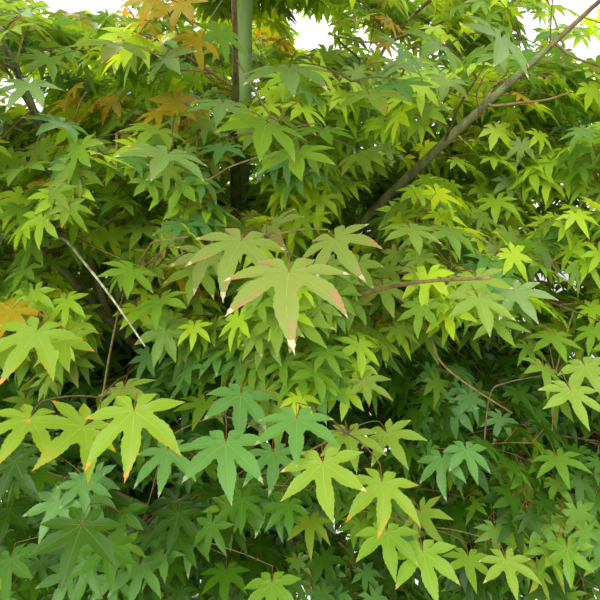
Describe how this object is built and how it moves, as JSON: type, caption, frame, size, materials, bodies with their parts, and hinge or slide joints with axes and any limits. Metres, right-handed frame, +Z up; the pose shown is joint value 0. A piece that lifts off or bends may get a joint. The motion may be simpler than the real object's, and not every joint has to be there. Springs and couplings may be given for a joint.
{
  "type": "potted japanese maple tree",
  "caption": "Young layered maple tree: a leaning green stem, arching boughs and flat masses of lobed leaves, standing in a plain round pot.",
  "frame": {"origin": "centre of the pot's flat underside, on the floor it stands on", "axes": "+Z up the stem; -Y towards the side that faces the camera in the picture; +X to that picture's right, the way the stem leans"},
  "size_m": [1.9134, 1.7022, 2.6514],
  "materials": {
    "bark": "smooth green to grey-brown young bark",
    "leaves": "thin satin leaves, yellow-green with early autumn tints",
    "pot": "matt moulded plastic",
    "soil": "moist bark compost"
  },
  "bodies": {
    "root": {"pot": "pot", "soil": "soil", "trunk": "bark", "bough_middle_1": "bark", "bough_middle_2": "bark", "bough_middle_3": "bark", "bough_middle_4": "bark", "bough_middle_5": "bark", "bough_middle_6": "bark", "bough_upper_1": "bark", "bough_upper_2": "bark", "bough_upper_3": "bark", "bough_upper_4": "bark", "bough_upper_5": "bark", "bough_upper_6": "bark", "bough_lower_1": "bark", "bough_lower_2": "bark", "bough_lower_3": "bark", "bough_lower_4": "bark", "bough_lower_5": "bark", "bough_top_1": "bark", "bough_top_2": "bark", "bough_top_3": "bark", "foliage_middle_1": "leaves", "foliage_middle_2": "leaves", "foliage_middle_3": "leaves", "foliage_middle_4": "leaves", "foliage_middle_5": "leaves", "foliage_middle_6": "leaves", "foliage_upper_1": "leaves", "foliage_upper_2": "leaves", "foliage_upper_3": "leaves", "foliage_upper_4": "leaves", "foliage_upper_5": "leaves", "foliage_upper_6": "leaves", "foliage_lower_1": "leaves", "foliage_lower_2": "leaves", "foliage_lower_3": "leaves", "foliage_lower_4": "leaves", "foliage_lower_5": "leaves", "foliage_top_1": "leaves", "foliage_top_2": "leaves", "foliage_top_3": "leaves", "foliage_leader": "leaves"}
  },
  "joints": []
}
